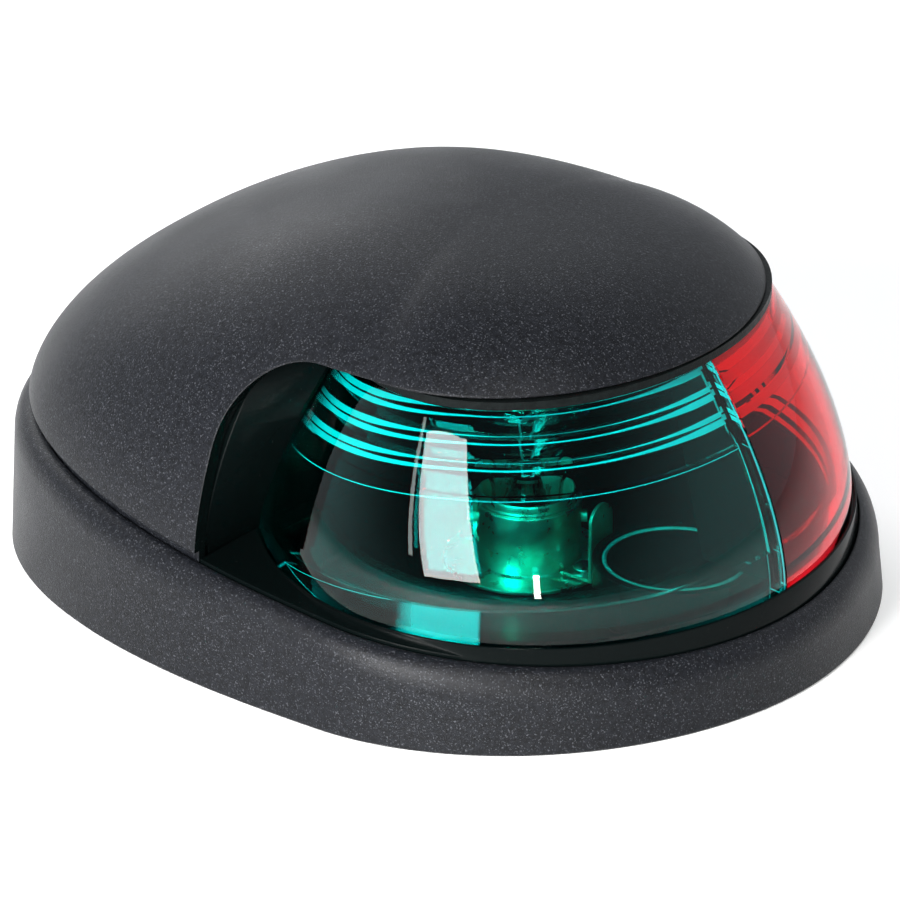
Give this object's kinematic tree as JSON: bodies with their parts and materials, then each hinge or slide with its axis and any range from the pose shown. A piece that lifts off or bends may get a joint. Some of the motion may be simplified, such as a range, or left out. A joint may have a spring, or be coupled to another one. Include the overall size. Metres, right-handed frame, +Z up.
{
  "type": "bow navigation light",
  "caption": "Deck-mounted bow light: domed black cover and base round a split green and red lens, with a bayonet bulb and socket inside.",
  "frame": {"origin": "on the deck plane, in the middle of the light's length and width", "axes": "+X to the bow, where the two lenses meet; +Y to port, the red side; +Z up from the deck"},
  "size_m": [0.14, 0.114, 0.0635],
  "materials": {
    "charcoal_plastic": "fine moulded grain, charcoal black",
    "gloss_black": "polished black",
    "black_rubber": "smooth black rubber",
    "foam": "closed-cell foam",
    "green_lens": "clear green moulding, polished",
    "red_lens": "clear red moulding, polished",
    "clear_glass": "clear blown glass",
    "black_glass": "black cap glass",
    "nickel_plate": "nickel-plated brass, satin",
    "brass": "stamped brass",
    "spring_steel": "bright spring steel",
    "solder": "dull solder",
    "tungsten": "drawn tungsten wire",
    "phenolic": "brown phenolic board"
  },
  "bodies": {
    "base": {"base": "charcoal_plastic", "deck_gasket": "foam", "screw_plug": "gloss_black", "wire_grommet": "black_rubber", "socket_shell": "nickel_plate", "socket_insulator": "phenolic", "earth_tab": "nickel_plate", "supply_strip": "brass", "socket_rivet_fore": "spring_steel", "socket_rivet_aft": "spring_steel", "contact_spring": "spring_steel"},
    "plunger": {"contact_plunger": "brass"},
    "bulb": {"bulb_cap": "nickel_plate", "bulb_pin_fore": "nickel_plate", "bulb_pin_aft": "nickel_plate", "bulb_glass": "clear_glass", "bulb_stem": "clear_glass", "filament": "tungsten", "bulb_cap_insulator": "black_glass", "bulb_contact": "solder"},
    "lens": {"lens_green": "green_lens", "lens_red": "red_lens", "lens_frame": "gloss_black", "lens_seal": "black_rubber", "colour_divider": "gloss_black"},
    "cover": {"cover": "charcoal_plastic"}
  },
  "joints": [
    {"name": "bulb_press", "type": "slide", "parent": "base", "child": "plunger", "axis": [0, 0, -1], "range_m": [0, 0.0012], "stiffness_N_per_m": 2500, "springref_m": -0.001, "deforming": ["contact_spring"]},
    {"name": "bulb_turn", "type": "hinge", "parent": "plunger", "child": "bulb", "pos_m": [0.0158, 0, 0.0127], "axis": [0, 0, 1], "range_deg": [0, 20]},
    {"name": "lens_lift", "type": "slide", "parent": "base", "child": "lens", "axis": [0, 0, 1], "range_m": [0, 0.045]},
    {"name": "cover_lift", "type": "slide", "parent": "lens", "child": "cover", "axis": [0, 0, 1], "range_m": [0, 0.045]}
  ]
}
